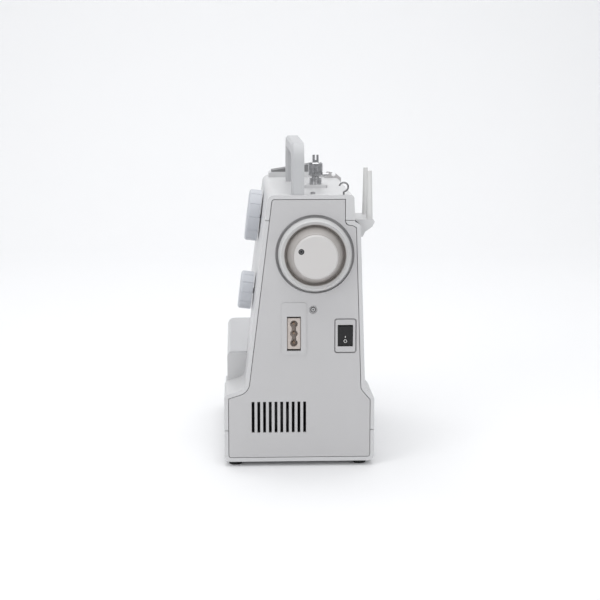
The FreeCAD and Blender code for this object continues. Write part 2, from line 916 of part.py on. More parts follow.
def presser_foot():
    sole_z = cloth_top_z + foot_gap
    toe = [
        (foot_front_y, sole_z + foot_sole, 0),
        (foot_front_y + foot_sole, sole_z, 0),
        (foot_rear_y, sole_z, 0),
        (foot_rear_y, sole_z + foot_sole, 0),
    ]
    sole = slab_x(toe, foot_left_x, foot_right_x)
    shank = [
        (foot_rear_y - 3 * foot_sole, sole_z + foot_sole, 0),
        (foot_rear_y, sole_z + foot_sole, 0),
        (presser_y + presser_bar_radius + wall, foot_shank_top_z - 4 * wall, 0),
        (presser_y + presser_bar_radius + wall, foot_shank_top_z, 0),
        (presser_y - presser_bar_radius - wall, foot_shank_top_z, 0),
        (presser_y - presser_bar_radius - wall, foot_shank_top_z - 4 * wall, 0),
    ]
    post = slab_x(shank, needle_x - presser_bar_radius - wall, needle_x + presser_bar_radius + wall)
    socket = bar_z(presser_bar_radius + press_gap, foot_shank_top_z - 2 * wall, far, needle_x, presser_y)
    slot = block(needle_x - needle_slot_width / 2, needle_x + needle_slot_width / 2,
                 needle_y - 2 * needle_slot_width,
                 needle_y + needle_slot_width / 2, 0, far)
    return sole.fuse(post).cut(socket).cut(slot)


def arm_frame():
    beam = block(arm_left_x, plate_x, arm_front_y, arm_rear_y, arm_bottom_z, arm_top_z)
    web = block(arm_left_x, arm_left_x + arm_web, arm_front_y, arm_rear_y, arm_foot_z, arm_top_z)
    foot = block(arm_left_x, needle_x + 2 * guide_radius, arm_front_y, arm_rear_y, arm_foot_z,
                 arm_foot_z + arm_foot_thick)
    lug = block(lug_x, lug_x + plate_thick, shaft_y - bush_flange_radius, shaft_y + bush_flange_radius,
                shaft_z - bush_flange_radius, arm_bottom_z)
    frame = beam.fuse([web, foot, lug])
    frame = frame.cut(bar_x(bush_radius + press_gap, lug_x - cut_past, lug_x + plate_thick + cut_past,
                            shaft_y, shaft_z))
    frame = frame.cut(bar_z(needle_bar_radius + running_gap, arm_foot_z - cut_past,
                            arm_foot_z + arm_foot_thick + cut_past, needle_x, needle_y))
    room = bar_z(needle_bar_radius + running_gap, arm_bottom_z - cut_past, arm_top_z + cut_past,
                 needle_x, needle_y)
    guide = bar_z(presser_bar_radius + running_gap, arm_foot_z - cut_past, arm_top_z + cut_past,
                  needle_x, presser_y)
    return frame.cut(room).cut(guide)


save("needle_bar", needle_bar())
save("needle", needle())
save("presser_bar", presser_bar())
save("presser_foot", presser_foot())
save("arm_frame", arm_frame())


# Presser lifter
def lifter_face_y():
    return rear_y(lifter_z - lifter_length) + lifter_gap


def lifter_lever():
    y0 = lifter_face_y()
    hub = bar_y(lifter_hub_radius, y0, y0 + lifter_thick, lifter_x, lifter_z)
    tip_z = lifter_z - lifter_length
    tip = bar_y(lifter_tip_radius, y0, y0 + lifter_thick, lifter_x, tip_z)
    arm = slab_y([(lifter_x - lifter_tip_radius, tip_z, 0), (lifter_x + lifter_tip_radius, tip_z, 0),
                  (lifter_x + lifter_hub_radius, lifter_z, 0), (lifter_x - lifter_hub_radius, lifter_z, 0)],
                 y0, y0 + lifter_thick)
    pin = bar_y(lifter_pin_radius, arm_rear_y, y0, lifter_x, lifter_z)
    return hub.fuse([tip, arm, pin])


save("presser_lifter", lifter_lever())


# Frame plates and shafts
def right_plate():
    low = plate_half_low
    high = plate_half_high
    corners = [
        (-low, floor_z, 0), (low, floor_z, 0), (low, rear_base_z - edge_round, 0),
        (rear_top_y - 4 * wall, rear_heel_z + 2 * edge_round, 0), (rear_top_y - 4 * wall, plate_top_z, 0),
        (shaft_y - high, plate_top_z, 0), (front_y(bed_top_z) + 4 * wall, bed_top_z, 0),
        (-low, shoulder_z - 2 * edge_round, 0),
    ]
    plate = slab_x(corners, plate_x, plate_x + plate_thick)
    for y, z, r in [(shaft_y, shaft_z, bush_radius + press_gap), (motor_y, motor_z,
                                                                  motor_boss_radius + press_gap)]:
        plate = plate.cut(bar_x(r, plate_x - cut_past, plate_x + plate_thick + cut_past, y, z))
    end = x_right - 2 * panel_thick
    post = bar_x(post_radius, plate_x + plate_thick, end, panel_screw_y, panel_screw_z)
    post = post.cut(bar_x(panel_screw_radius / 2 + press_gap, end - 4 * panel_screw_radius, end + cut_past,
                          panel_screw_y, panel_screw_z))
    return plate.fuse(post)


def flanged_bush(x, y, z):
    bush = bar_x(bush_radius, x, x + plate_thick, y, z)
    flange = bar_x(bush_flange_radius, x - bush_flange_thick, x, y, z)
    return bush.fuse(flange).cut(bar_x(shaft_radius + running_gap, x - plate_thick, x + 2 * plate_thick, y,
                                       z))


wheel_front_x = x_right + wheel_reach
wheel_cap_x = wheel_front_x - cap_thick
save("right_frame_plate", right_plate())
save("shaft_bushes", Part.makeCompound([flanged_bush(x, shaft_y, shaft_z) for x in [plate_x, lug_x]]))
save("main_shaft", bar_x(shaft_radius, shaft_left_x, wheel_cap_x, shaft_y, shaft_z))


def pulley(radius, x, y, z, bore):
    rims = bar_x(radius, x, x + pulley_width, y, z)
    for start in [x, x + pulley_width - pulley_flange]:
        rims = rims.fuse(bar_x(radius + belt_thick + 2 * belt_gap, start, start + pulley_flange, y, z))
    return rims.cut(bar_x(bore + press_gap, x - cut_past, x + pulley_width + cut_past, y, z))


def loop_face(x, near, far_end, depth):
    """Flat loop round two circles, grown outwards by depth."""
    y1, z1, r1 = near
    y2, z2, r2 = far_end
    r1 = r1 + depth
    r2 = r2 + depth
    span = math.hypot(y2 - y1, z2 - z1)
    heading = math.atan2(z2 - z1, y2 - y1)
    lean = math.acos((r1 - r2) / span)

    def at(y, z, r, angle):
        return vec(x, y + r * math.cos(angle), z + r * math.sin(angle))

    a = at(y1, z1, r1, heading + lean)
    b = at(y1, z1, r1, heading - lean)
    c = at(y2, z2, r2, heading - lean)
    d = at(y2, z2, r2, heading + lean)
    back = Part.Arc(a, at(y1, z1, r1, heading + math.pi), b).toShape()
    front = Part.Arc(c, at(y2, z2, r2, heading), d).toShape()
    return Part.Face(Part.Wire([back, Part.makeLine(b, c), front, Part.makeLine(d, a)]))


def belt(x, near, far_end):
    start = x + (pulley_width - belt_width) / 2
    outer = loop_face(start, near, far_end, belt_gap + belt_thick).extrude(vec(belt_width, 0, 0))
    inner = loop_face(start, near, far_end, belt_gap).extrude(vec(belt_width, 0, 0))
    return outer.cut(inner)


motor_left_x = plate_x - motor_length


def motor_body():
    can = bar_x(motor_radius, motor_left_x, plate_x, motor_y, motor_z)
    can = can.makeChamfer(wall, [can.Edges[0], can.Edges[2]])
    boss = bar_x(motor_boss_radius, plate_x, plate_x + motor_boss_length, motor_y, motor_z)
    bore = bar_x(motor_shaft_radius + running_gap, motor_left_x + motor_length / 2, far, motor_y, motor_z)
    return can.fuse(boss).cut(bore)


save("drive_pulley", pulley(drive_pulley_radius, pulley_x, shaft_y, shaft_z, shaft_radius))
save("motor_pulley", pulley(motor_pulley_radius, pulley_x, motor_y, motor_z, motor_shaft_radius))
save("motor_belt", belt(pulley_x, (shaft_y, shaft_z, drive_pulley_radius), (motor_y, motor_z,
                                                                            motor_pulley_radius)))
save("motor", motor_body())
save("motor_shaft", bar_x(motor_shaft_radius, motor_left_x + motor_length / 2 + wall,
                          pulley_x + pulley_width,
                          motor_y, motor_z))


def needle_crank():
    disc = bar_x(crank_radius, shaft_left_x - crank_thick, shaft_left_x, shaft_y, shaft_z)
    pin = bar_x(crank_pin_radius, shaft_left_x - crank_thick - crank_pin_length, shaft_left_x - crank_thick,
                shaft_y, shaft_z + crank_throw)
    return disc.fuse(pin)


save("needle_crank", needle_crank())


# Handwheel
def turned(points, middle_y, middle_z):
    """Solid turned about the shaft line from (x, radius) points."""
    wire = Part.makePolygon([vec(x, middle_y, middle_z + r) for x, r in points + points[:1]])
    return Part.Face(wire).revolve(vec(0, middle_y, middle_z), vec(1, 0, 0), 360)


def handwheel():
    back = x_right - well_depth + wheel_back_gap
    rim_front = x_right + wheel_rim_front
    groove = x_right + groove_front
    points = [
        (back, shaft_radius + press_gap),
        (back, wheel_radius - wall / 2),
        (back + wall / 2, wheel_radius),
        (rim_front - rim_thick, wheel_radius),
        (rim_front - rim_thick / 4, wheel_radius - rim_thick / 4),
        (rim_front, wheel_radius - rim_thick / 2),
        (rim_front - rim_thick / 4, wheel_radius - rim_thick),
        (groove, wheel_radius - rim_thick - wall / 2),
        (groove, cone_radius - wall / 4),
        (wheel_cap_x - wall / 2, boss_radius),
        (wheel_cap_x, boss_radius - wall / 2),
        (wheel_cap_x, shaft_radius + press_gap),
    ]
    return turned(points, shaft_y, shaft_z)


def wheel_screw_line(radius, x0, x1):
    return bar_x(radius, x0, x1, shaft_y + wheel_screw_offset_y, shaft_z + wheel_screw_offset_z)


def wheel_cap():
    points = [
        (wheel_cap_x, 0),
        (wheel_cap_x, cap_radius),
        (wheel_front_x - wall / 2, cap_radius),
        (wheel_front_x, cap_radius - wall / 2),
        (wheel_front_x, 0),
    ]
    cap = turned(points, shaft_y, shaft_z)
    return cap.cut(wheel_screw_line(wheel_screw_radius + press_gap, wheel_front_x - wheel_screw_length,
                                    far))


def wheel_screw():
    start = wheel_front_x - wheel_screw_length
    head = wheel_screw_line(wheel_screw_radius, start, wheel_front_x - wheel_screw_sink)
    slot = block(wheel_front_x - 2 * wheel_screw_sink, far, -far, far, -wheel_screw_sink / 2,
                 wheel_screw_sink / 2)
    slot.translate(vec(0, 0, shaft_z + wheel_screw_offset_z))
    return head.cut(slot)


save("handwheel", handwheel())
save("handwheel_cap", wheel_cap())
save("handwheel_screw", wheel_screw())


# End panel with its socket, switch, screw and vents
def right_end_panel():
    panel = end_panel(seam, x_right - panel_thick, x_right)
    cup = bar_x(well_radius + well_wall, x_right - well_depth - well_wall, x_right, shaft_y, shaft_z)
    pad = slab_x(rectangle(inlet_y, inlet_z + inlet_pad_lift, inlet_pad_width, inlet_pad_height, wall),
                 x_right, x_right + inlet_pad_rise)
    screw_boss = bar_x(panel_screw_recess + wall, x_right - 2 * panel_thick, x_right, panel_screw_y,
                       panel_screw_z)
    panel = panel.fuse([cup, pad, screw_boss])
    panel = panel.cut(bar_x(well_radius, x_right - well_depth, far, shaft_y, shaft_z))
    panel = panel.cut(bar_x(shaft_radius + wall, 0, far, shaft_y, shaft_z))
    panel = panel.cut(slab_x(rectangle(inlet_y, inlet_z, inlet_width, inlet_height), 0, far))
    panel = panel.cut(slab_x(rectangle(switch_y, switch_z, switch_width, switch_height, switch_round), 0,
                             far))
    panel = panel.cut(bar_x(panel_screw_recess, x_right - panel_screw_sink, far, panel_screw_y,
                            panel_screw_z))
    panel = panel.cut(bar_x(panel_screw_radius / 2 + running_gap, 0, far, panel_screw_y, panel_screw_z))
    for i in range(vent_count):
        y = vent_first_y + i * vent_pitch
        panel = panel.cut(block(0, far, y - vent_width / 2, y + vent_width / 2, vent_bottom_z,
                                vent_bottom_z + vent_height))
    return panel


def panel_screw():
    seat = x_right - panel_screw_sink
    head = bar_x(panel_screw_radius, seat, x_right - wall / 4, panel_screw_y, panel_screw_z)
    stem = bar_x(panel_screw_radius / 2, seat - 4 * panel_screw_radius, seat, panel_screw_y, panel_screw_z)
    return head.fuse(stem)


def power_inlet():
    body = slab_x(rectangle(inlet_y, inlet_z, inlet_width - 2 * seam, inlet_height - 6 * seam, 1),
                  x_right - inlet_depth, x_right - seam)
    flange = slab_x(rectangle(inlet_y, inlet_z, inlet_width + 4 * wall, inlet_height - 6 * seam),
                    x_right - panel_thick - wall, x_right - panel_thick)
    socket = body.fuse(flange)
    for i in [-1, 0, 1]:
        hole = bar_x(lobe_radius, x_right - seam - lobe_depth, far, inlet_y, inlet_z + i * lobe_pitch)
        socket = socket.cut(hole)
    channel = rectangle(inlet_y, inlet_z, 2 * lobe_radius * lobe_neck, 2 * lobe_pitch)
    return socket.cut(slab_x(channel, x_right - seam - lobe_depth, far))


def inlet_contacts():
    start = x_right - seam - lobe_depth
    return Part.makeCompound([bar_x(contact_radius, start, start + contact_length, inlet_y,
                                    inlet_z + i * lobe_pitch)
                              for i in [-1, 0, 1]])


rocker_axis_x = x_right - switch_set_back - rocker_depth / 2


def switch_frame():
    front = x_right - switch_set_back
    body = slab_x(rectangle(switch_y, switch_z, switch_width - 2 * switch_gap,
                            switch_height - 2 * switch_gap, switch_round - switch_gap),
                  front - switch_depth, front)
    flange = slab_x(rectangle(switch_y, switch_z, switch_width + 2 * wall, switch_height + 2 * wall),
                    x_right - panel_thick - wall, x_right - panel_thick)
    window = slab_x(rectangle(switch_y, switch_z, rocker_width + 2 * rocker_gap,
                              rocker_height + 2 * rocker_end_gap),
                    front - rocker_well, far)
    reach = rocker_width / 2 + rocker_pin_length + running_gap
    pin_hole = bar_y(rocker_pin_radius + running_gap, switch_y - reach, switch_y + reach, rocker_axis_x,
                     switch_z)
    return body.fuse(flange).cut(window).cut(pin_hole)


def switch_rocker():
    front = x_right - switch_set_back
    half = rocker_height / 2
    corners = [
        (front - rocker_depth + rocker_ridge, switch_z - half, 0),
        (front - rocker_depth, switch_z, 0),
        (front - rocker_depth + rocker_ridge, switch_z + half, 0),
        (front + rocker_ridge, switch_z + half, 0),
        (front, switch_z, 0),
        (front - rocker_ridge / 2, switch_z - half, 0),
    ]
    paddle = slab_y(corners, switch_y - rocker_width / 2, switch_y + rocker_width / 2)
    reach = rocker_width / 2 + rocker_pin_length
    return paddle.fuse(bar_y(rocker_pin_radius, switch_y - reach, switch_y + reach, rocker_axis_x,
                             switch_z))


save("right_end_panel", right_end_panel())
save("panel_screw", panel_screw())
save("power_inlet", power_inlet())
save("inlet_contacts", inlet_contacts())
save("switch_frame", switch_frame())
save("switch_rocker", switch_rocker())


# Carry handle
def carry_handle():
    left = handle_right_x - handle_length
    top = top_z + handle_rise
    arch = [
        (left, top_z, 0), (left, top, handle_corner), (handle_right_x, top, handle_corner),
        (handle_right_x, top_z, 0),
    ]
    gap = [
        (left + handle_leg, top_z - cut_past, 0),
        (left + handle_leg, top - handle_grip, handle_inner_corner),
        (handle_right_x - handle_leg, top - handle_grip, handle_inner_corner),
        (handle_right_x - handle_leg, top_z - cut_past, 0),
    ]
    front = handle_y - handle_width / 2
    rear = handle_y + handle_width / 2
    bail = slab_y(arch, front, rear).cut(slab_y(gap, front - cut_past, rear + cut_past))
    front_edges = [e for e in bail.Edges if e.BoundBox.YMax < front + wall / 2]
    outer_edges = [e for e in front_edges if e.BoundBox.ZMin > top - handle_corner - wall / 2]
    return bail.makeChamfer(handle_bevel / 2, outer_edges)


save("carry_handle", carry_handle())


# Thread path
def spool_shelf():
    back = rear_y(shelf_foot_z)
    corners = [
        (rear_top_y, shelf_foot_z, 0),
        (rear_top_y, step_z, 0),
        (rear_top_y - step_in, shelf_top_z, 0),
        (pin_y + pin_base_radius, shelf_top_z, 0),
        (shelf_rear_y, shelf_top_z - wall, 0),
        (shelf_rear_y - wall, shelf_top_z - 3 * wall, 0),
        (back + 2 * wall, shelf_foot_z + 2 * wall, 0),
        (back + wall, shelf_foot_z, 0),
    ]
    wedge = slab_x(corners, shelf_left_x, shelf_right_x)
    return wedge.cut(slab_x(housing_corners, x_left, x_right))


def spool_pins():
    pins = []
    for i in range(2):
        pins.append(Part.makeCone(pin_base_radius, pin_tip_radius, pin_height,
                                  vec(pin_first_x - i * pin_pitch, pin_y, shelf_top_z)))
    return Part.makeCompound(pins)


def guide_pad():
    pad = slab_z(rectangle(guide_post_x, guide_post_y, 2 * guide_pad_half, 2 * guide_pad_half, wall),
                 top_z, top_z + guide_pad_height)
    return pad


def thread_guide_post():
    z0 = top_z + guide_pad_height
    z1 = z0 + guide_base_height
    z2 = z1 + guide_waist_height
    z3 = z2 + guide_cup_height
    z4 = z3 + guide_tip_height
    points = [
        (0, z0), (guide_base_radius, z0), (guide_base_radius, z1), (guide_waist_radius, z1),
        (guide_waist_radius, z2),
        (guide_cup_radius - wall / 2, z2), (guide_cup_radius, z2 + wall / 2), (guide_cup_radius,
                                                                               z3 - wall / 2),
        (guide_cup_radius - wall / 2, z3), (guide_tip_radius, z3), (guide_tip_radius, z4), (0, z4), (0, z0),
    ]
    wire = Part.makePolygon([vec(guide_post_x + r, guide_post_y, z) for r, z in points])
    post = Part.Face(wire).revolve(vec(guide_post_x, guide_post_y, 0), vec(0, 0, 1), 360)
    slot = block(guide_post_x - far, guide_post_x + far, guide_post_y - guide_slot_width / 2,
                 guide_post_y + guide_slot_width / 2, z3 + wall, far)
    arm = bar_y(guide_arm_radius, guide_post_y, guide_post_y + guide_arm_length, guide_post_x,
                z0 + guide_arm_z)
    return post.cut(slot).fuse(arm)


def hook_guide():
    """Wire hook: a short stem that opens into a round eye."""
    ring_z = hook_stem + hook_ring_radius
    start = math.radians(-90)
    end = start + math.radians(hook_sweep)

    def at(angle):
        return vec(0, hook_ring_radius * math.cos(angle), ring_z + hook_ring_radius * math.sin(angle))

    ring = Part.Arc(at(start), at((start + end) / 2), at(end)).toShape()
    eye = Part.Wire([ring])
    profile = Part.Wire(Part.makeCircle(hook_wire_radius, at(start), vec(0, 1, 0)))
    curl = eye.makePipeShell([profile], True, False)
    hook = Part.makeCylinder(hook_wire_radius, hook_stem).fuse(curl)
    hook.translate(vec(hook_x, hook_y + hook_ring_radius / 2, top_z))
    return hook


def rear_eyelet_plate():
    corners = [
        (eyelet_front_y, eyelet_low_z + 2 * edge_round, edge_round),
        (eyelet_front_y, eyelet_high_z, edge_round),
        (eyelet_rear_y - edge_round, eyelet_high_z - wall, edge_round),
        (eyelet_rear_y + wall, top_z, 0),
        (eyelet_rear_y + wall, eyelet_low_z, wall),
    ]
    plate = slab_x(corners, eyelet_x, eyelet_x + eyelet_thick)
    plate = plate.cut(slab_x(housing_corners, x_left, x_right))
    middle = (eyelet_front_y + eyelet_rear_y) / 2
    for i in [-1, 1]:
        plate = plate.cut(bar_x(eyelet_hole_radius, eyelet_x - cut_past, eyelet_x + eyelet_thick + cut_past,
                                middle + i * 2 * eyelet_hole_radius - wall, top_z + edge_round))
    return plate


def take_up_cover():
    corners = [
        (wedge_front_y + 2 * plinth_margin, plinth_z, 0),
        (wedge_front_y + 2 * plinth_margin, plinth_z + wedge_toe, 0),
        (wedge_rear_y, plinth_z + wedge_rise, 0),
        (wedge_rear_y + wedge_rise, plinth_z, 0),
    ]
    return slab_x(corners, x_cap + plinth_margin, wedge_right_x)


def guide_clip():
    return bar_z(clip_radius, top_z, top_z + clip_height, clip_x, clip_y)


save("spool_shelf", spool_shelf())
save("spool_pins", spool_pins())
save("guide_pad", guide_pad())
save("thread_guide_post", thread_guide_post())
save("hook_guide", hook_guide())
save("rear_eyelet_plate", rear_eyelet_plate())
save("take_up_cover", take_up_cover())
save("guide_clip", guide_clip())


# Rubber feet
def rubber_feet():
    feet = []
    for x in [x_left + foot_inset_x, x_right - foot_inset_x]:
        for y in [foot_front_row_y, foot_rear_row_y]:
            feet.append(Part.makeCone(foot_radius - foot_taper, foot_radius, foot_height, vec(x, y, 0)))
    return Part.makeCompound(feet)


save("rubber_feet", rubber_feet())
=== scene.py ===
# %% [markdown]
# # Overlock sewing machine
# A household overlock machine is a stack of pale moulded covers round a cast frame, with a handwheel,
# a mains inlet and a switch on its right end. All of that is already modelled as solids, packed into
# bodies and joints, so this script only dresses it: finishes, softened edges, two small marks, light
# and a camera. The solids could be rebuilt here as meshes, but then the looks and the motion would drift
# apart. Loading them as a fixed frame keeps one shape for both.

# %% Load the frame
import json
import math

import bmesh
import bpy
from mathutils import Matrix, Vector


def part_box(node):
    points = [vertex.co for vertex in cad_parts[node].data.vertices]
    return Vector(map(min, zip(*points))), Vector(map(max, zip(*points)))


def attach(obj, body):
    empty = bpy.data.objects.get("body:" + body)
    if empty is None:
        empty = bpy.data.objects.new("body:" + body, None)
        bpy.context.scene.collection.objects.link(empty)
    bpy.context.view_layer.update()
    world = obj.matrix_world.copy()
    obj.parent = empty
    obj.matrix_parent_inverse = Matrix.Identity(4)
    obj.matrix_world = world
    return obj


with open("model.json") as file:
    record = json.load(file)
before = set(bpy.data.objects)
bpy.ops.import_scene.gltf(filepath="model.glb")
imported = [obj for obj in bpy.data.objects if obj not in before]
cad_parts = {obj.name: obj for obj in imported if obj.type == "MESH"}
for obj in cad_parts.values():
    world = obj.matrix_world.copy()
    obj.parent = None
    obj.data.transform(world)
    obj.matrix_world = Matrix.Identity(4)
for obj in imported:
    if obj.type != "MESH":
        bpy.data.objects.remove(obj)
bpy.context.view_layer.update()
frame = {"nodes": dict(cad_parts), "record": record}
nodes = frame["nodes"]
scene = bpy.context.scene
print("nodes", len(nodes))

# %% [markdown]
# ## Helpers for shader nodes
# Every finish on the machine uses the same three moves: open a node group, add a noise texture, blend
# two colours. They could be wired by hand in each material, which soon hides what differs between them.
# Short helpers keep the wiring in one place. A Mix node lists the sockets of all its data types, so the
# ones for colour are picked by number, and the numbers get names.

# %% Shader helpers
mix_factor, mix_first, mix_second, mix_result = 0, 6, 7, 2
noise_roughness = 0.55


def new_group(name, inputs, outputs):
    """Empty node group with named sockets, and its input and output nodes."""
    group = bpy.data.node_groups.new(name, "ShaderNodeTree")
    for label, kind in inputs:
        group.interface.new_socket(label, in_out="INPUT", socket_type=kind)
    for label, kind in outputs:
        group.interface.new_socket(label, in_out="OUTPUT", socket_type=kind)
    return group, group.nodes.new("NodeGroupInput"), group.nodes.new("NodeGroupOutput")


def noise(tree, vector, detail):
    node = tree.nodes.new("ShaderNodeTexNoise")
    node.inputs["Detail"].default_value = detail
    node.inputs["Roughness"].default_value = noise_roughness
    tree.links.new(vector, node.inputs["Vector"])
    return node


def mix_colours(tree, first, second, blend="MIX"):
    node = tree.nodes.new("ShaderNodeMix")
    node.data_type = "RGBA"
    node.blend_type = blend
    tree.links.new(first, node.inputs[mix_first])
    tree.links.new(second, node.inputs[mix_second])
    return node


print("colour sockets of a Mix node", mix_first, mix_second, mix_result)

# %% [markdown]
# ## Mottled colour
# Moulded plastic and cast metal are never one flat colour: the pigment drifts a little over the part.
# An image could show that, but it would need a UV map on every cover. A soft noise in object space needs
# none, and it follows the part when a joint moves. The noise is scaled by Amount and then blends from the
# base colour towards a tint. As a group it is built once and each material sets its own values.

# %% Mottled colour
mottle_detail = 3.0


def build_mottle():
    group, given, made = new_group(
        "mottle",
        [("Vector", "NodeSocketVector"), ("Base", "NodeSocketColor"), ("Tint", "NodeSocketColor"),
         ("Scale", "NodeSocketFloat"), ("Amount", "NodeSocketFloat")],
        [("Colour", "NodeSocketColor")])
    spots = noise(group, given.outputs["Vector"], mottle_detail)
    group.links.new(given.outputs["Scale"], spots.inputs["Scale"])
    share = group.nodes.new("ShaderNodeMath")
    share.operation = "MULTIPLY"
    group.links.new(spots.outputs["Fac"], share.inputs[0])
    group.links.new(given.outputs["Amount"], share.inputs[1])
    mixed = mix_colours(group, given.outputs["Base"], given.outputs["Tint"])
    group.links.new(share.outputs[0], mixed.inputs[mix_factor])
    group.links.new(mixed.outputs[mix_result], made.inputs["Colour"])
    return group


mottle = build_mottle()
print("group", mottle.name, [item.name for item in mottle.interface.items_tree])

# %% [markdown]
# ## Moulded grain
# The covers have the fine matt texture of their mould, and their shine varies where hands and cloth rub.
# Real bumps this small would take millions of faces. A Bump node tilts the shading instead, and a second,
# broader noise moves the roughness between two limits. Both are one group, because every finish needs both.

# %% Moulded grain
grain_scale = 1500.0
grain_detail = 2.0
grain_height = 0.0002
rub_scale = 40.0
rub_detail = 3.0


def build_grain():
    group, given, made = new_group(
        "grain",
        [("Vector", "NodeSocketVector"), ("Depth", "NodeSocketFloat"),
         ("Rough Low", "NodeSocketFloat"), ("Rough High", "NodeSocketFloat")],
        [("Roughness", "NodeSocketFloat"), ("Normal", "NodeSocketVector")])
    fine = noise(group, given.outputs["Vector"], grain_detail)
    fine.inputs["Scale"].default_value = grain_scale
    bump = group.nodes.new("ShaderNodeBump")
    bump.inputs["Distance"].default_value = grain_height
    group.links.new(given.outputs["Depth"], bump.inputs["Strength"])
    group.links.new(fine.outputs["Fac"], bump.inputs["Height"])
    broad = noise(group, given.outputs["Vector"], rub_detail)
    broad.inputs["Scale"].default_value = rub_scale
    span = group.nodes.new("ShaderNodeMapRange")
    group.links.new(broad.outputs["Fac"], span.inputs["Value"])
    group.links.new(given.outputs["Rough Low"], span.inputs["To Min"])
    group.links.new(given.outputs["Rough High"], span.inputs["To Max"])
    group.links.new(span.outputs["Result"], made.inputs["Roughness"])
    group.links.new(bump.outputs["Normal"], made.inputs["Normal"])
    return group


grain = build_grain()
print("group", grain.name, [item.name for item in grain.interface.items_tree])

# %% [markdown]
# ## One recipe for every finish
# A finish is a Principled shader with the two groups in front of it. Each material could be wired on its
# own, but one function with a few values builds them all alike. The shader stays in the material and only
# colours, values and normals come out of the groups, so that the finish can be baked later. Ground steel is
# the same recipe with its pattern squeezed along one axis by a Mapping node, so that spots become streaks.


# %% Finish recipe
def place_group(tree, group, coords, values):
    node = tree.nodes.new("ShaderNodeGroup")
    node.node_tree = group
    tree.links.new(coords, node.inputs["Vector"])
    for label, value in values.items():
        node.inputs[label].default_value = value
    return node


def finish(name, base, tint, amount, rough, metallic=0.0, depth=0.05, spot=30.0, squeeze=None):
    """Material from a base colour, a tint, how far the tint shows, and the two limits of roughness."""
    mat = bpy.data.materials.new(name)
    mat.use_nodes = True
    tree = mat.node_tree
    shader = tree.nodes["Principled BSDF"]
    coords = tree.nodes.new("ShaderNodeTexCoord").outputs["Object"]
    if squeeze:
        mapping = tree.nodes.new("ShaderNodeMapping")
        mapping.inputs["Scale"].default_value = squeeze
        tree.links.new(coords, mapping.inputs["Vector"])
        coords = mapping.outputs["Vector"]
    colour = place_group(tree, mottle, coords,
                         {"Base": (*base, 1), "Tint": (*tint, 1), "Amount": amount, "Scale": spot})
    surface = place_group(tree, grain, coords,
                          {"Depth": depth, "Rough Low": rough[0], "Rough High": rough[1]})
    tree.links.new(colour.outputs["Colour"], shader.inputs["Base Color"])
    tree.links.new(surface.outputs["Roughness"], shader.inputs["Roughness"])
    tree.links.new(surface.outputs["Normal"], shader.inputs["Normal"])
    shader.inputs["Metallic"].default_value = metallic
    return mat


def grey(level):
    return (level, level, level)


print("each finish uses", mottle.name, "and", grain.name)

# %% [markdown]
# ## Plastics and rubber
# Pale grey covers, a slightly darker and coarser end panel, bluish dials and a warm inlet: the machine is
# a family of near whites, told apart by small steps of colour and shine. Only the rocker, the feet and the
# belt are black. One white material for all covers would lose the seams between them. A table of values
# shows those steps side by side.

# %% Plastics and rubber
plastics = {
    "housing": dict(base=(0.60, 0.60, 0.605), tint=grey(0.55), amount=0.3, rough=(0.34, 0.44)),
    "end_panel": dict(base=(0.53, 0.525, 0.53), tint=(0.47, 0.465, 0.465), amount=0.35,
                      rough=(0.45, 0.58), depth=0.12),
    "wheel": dict(base=(0.60, 0.585, 0.575), tint=(0.54, 0.52, 0.51), amount=0.3, rough=(0.35, 0.45)),
    "dial": dict(base=(0.55, 0.565, 0.60), tint=(0.49, 0.50, 0.53), amount=0.3, rough=(0.4, 0.5)),
    "pin_plastic": dict(base=(0.70, 0.70, 0.69), tint=(0.64, 0.64, 0.63), amount=0.3, rough=(0.3, 0.4)),
    "dark_plastic": dict(base=(0.006, 0.006, 0.007), tint=grey(0.010), amount=0.5, rough=(0.6, 0.72)),
    "socket": dict(base=(0.55, 0.49, 0.45), tint=(0.47, 0.41, 0.37), amount=0.4, rough=(0.4, 0.5)),
    "grey_plastic": dict(base=(0.20, 0.20, 0.205), tint=grey(0.15), amount=0.4, rough=(0.45, 0.55)),
    "rubber": dict(base=grey(0.012), tint=grey(0.025), amount=0.5, rough=(0.7, 0.85)),
}
looks = {slot: finish(slot, **values) for slot, values in plastics.items()}
print("plastics", sorted(looks))

# %% [markdown]
# ## Metals and motor paint
# The plates, the foot and the thread guides are plated, the shafts, knives and loopers are ground steel,
# the frame is cast, the pulleys are a dull alloy, and the bushes and inlet contacts are bronze. Metallic at
# 1 gives a mirror tinted by its base colour. The frame and the pulleys sit behind the vents, and their low
# value is painted shade for the dark inside of the housing, with a higher roughness to keep them dull.
# Paint is no metal, so the motor has none.

# %% Metals and motor paint
metals = {
    "chrome": dict(base=(0.50, 0.50, 0.51), tint=grey(0.36), amount=0.5, rough=(0.10, 0.20), metallic=1.0),
    "steel": dict(base=(0.50, 0.50, 0.51), tint=grey(0.42), amount=0.4, rough=(0.28, 0.4), metallic=1.0,
                  squeeze=(1, 1, 8)),
    # cast and alloy: their low value is painted shade for the dark inside behind the vents
    "cast": dict(base=(0.10, 0.10, 0.105), tint=grey(0.07), amount=0.4, rough=(0.6, 0.75), metallic=0.6,
                 depth=0.2),
    "alloy": dict(base=(0.09, 0.09, 0.095), tint=grey(0.06), amount=0.4, rough=(0.5, 0.6), metallic=0.8),
    "bronze": dict(base=(0.27, 0.19, 0.135), tint=(0.22, 0.15, 0.10), amount=0.4, rough=(0.5, 0.6),
                   metallic=0.3),
    "motor_paint": dict(base=(0.03, 0.03, 0.033), tint=grey(0.05), amount=0.4, rough=(0.4, 0.5)),
}
looks.update({slot: finish(slot, **values) for slot, values in metals.items()})
print("metals", sorted(metals))

# %% [markdown]
# ## Dressing the nodes
# The record says which finish each piece has, as its material slot. A list of names typed here would say
# the same a second time and could fall behind, so the slots are read from the frame.

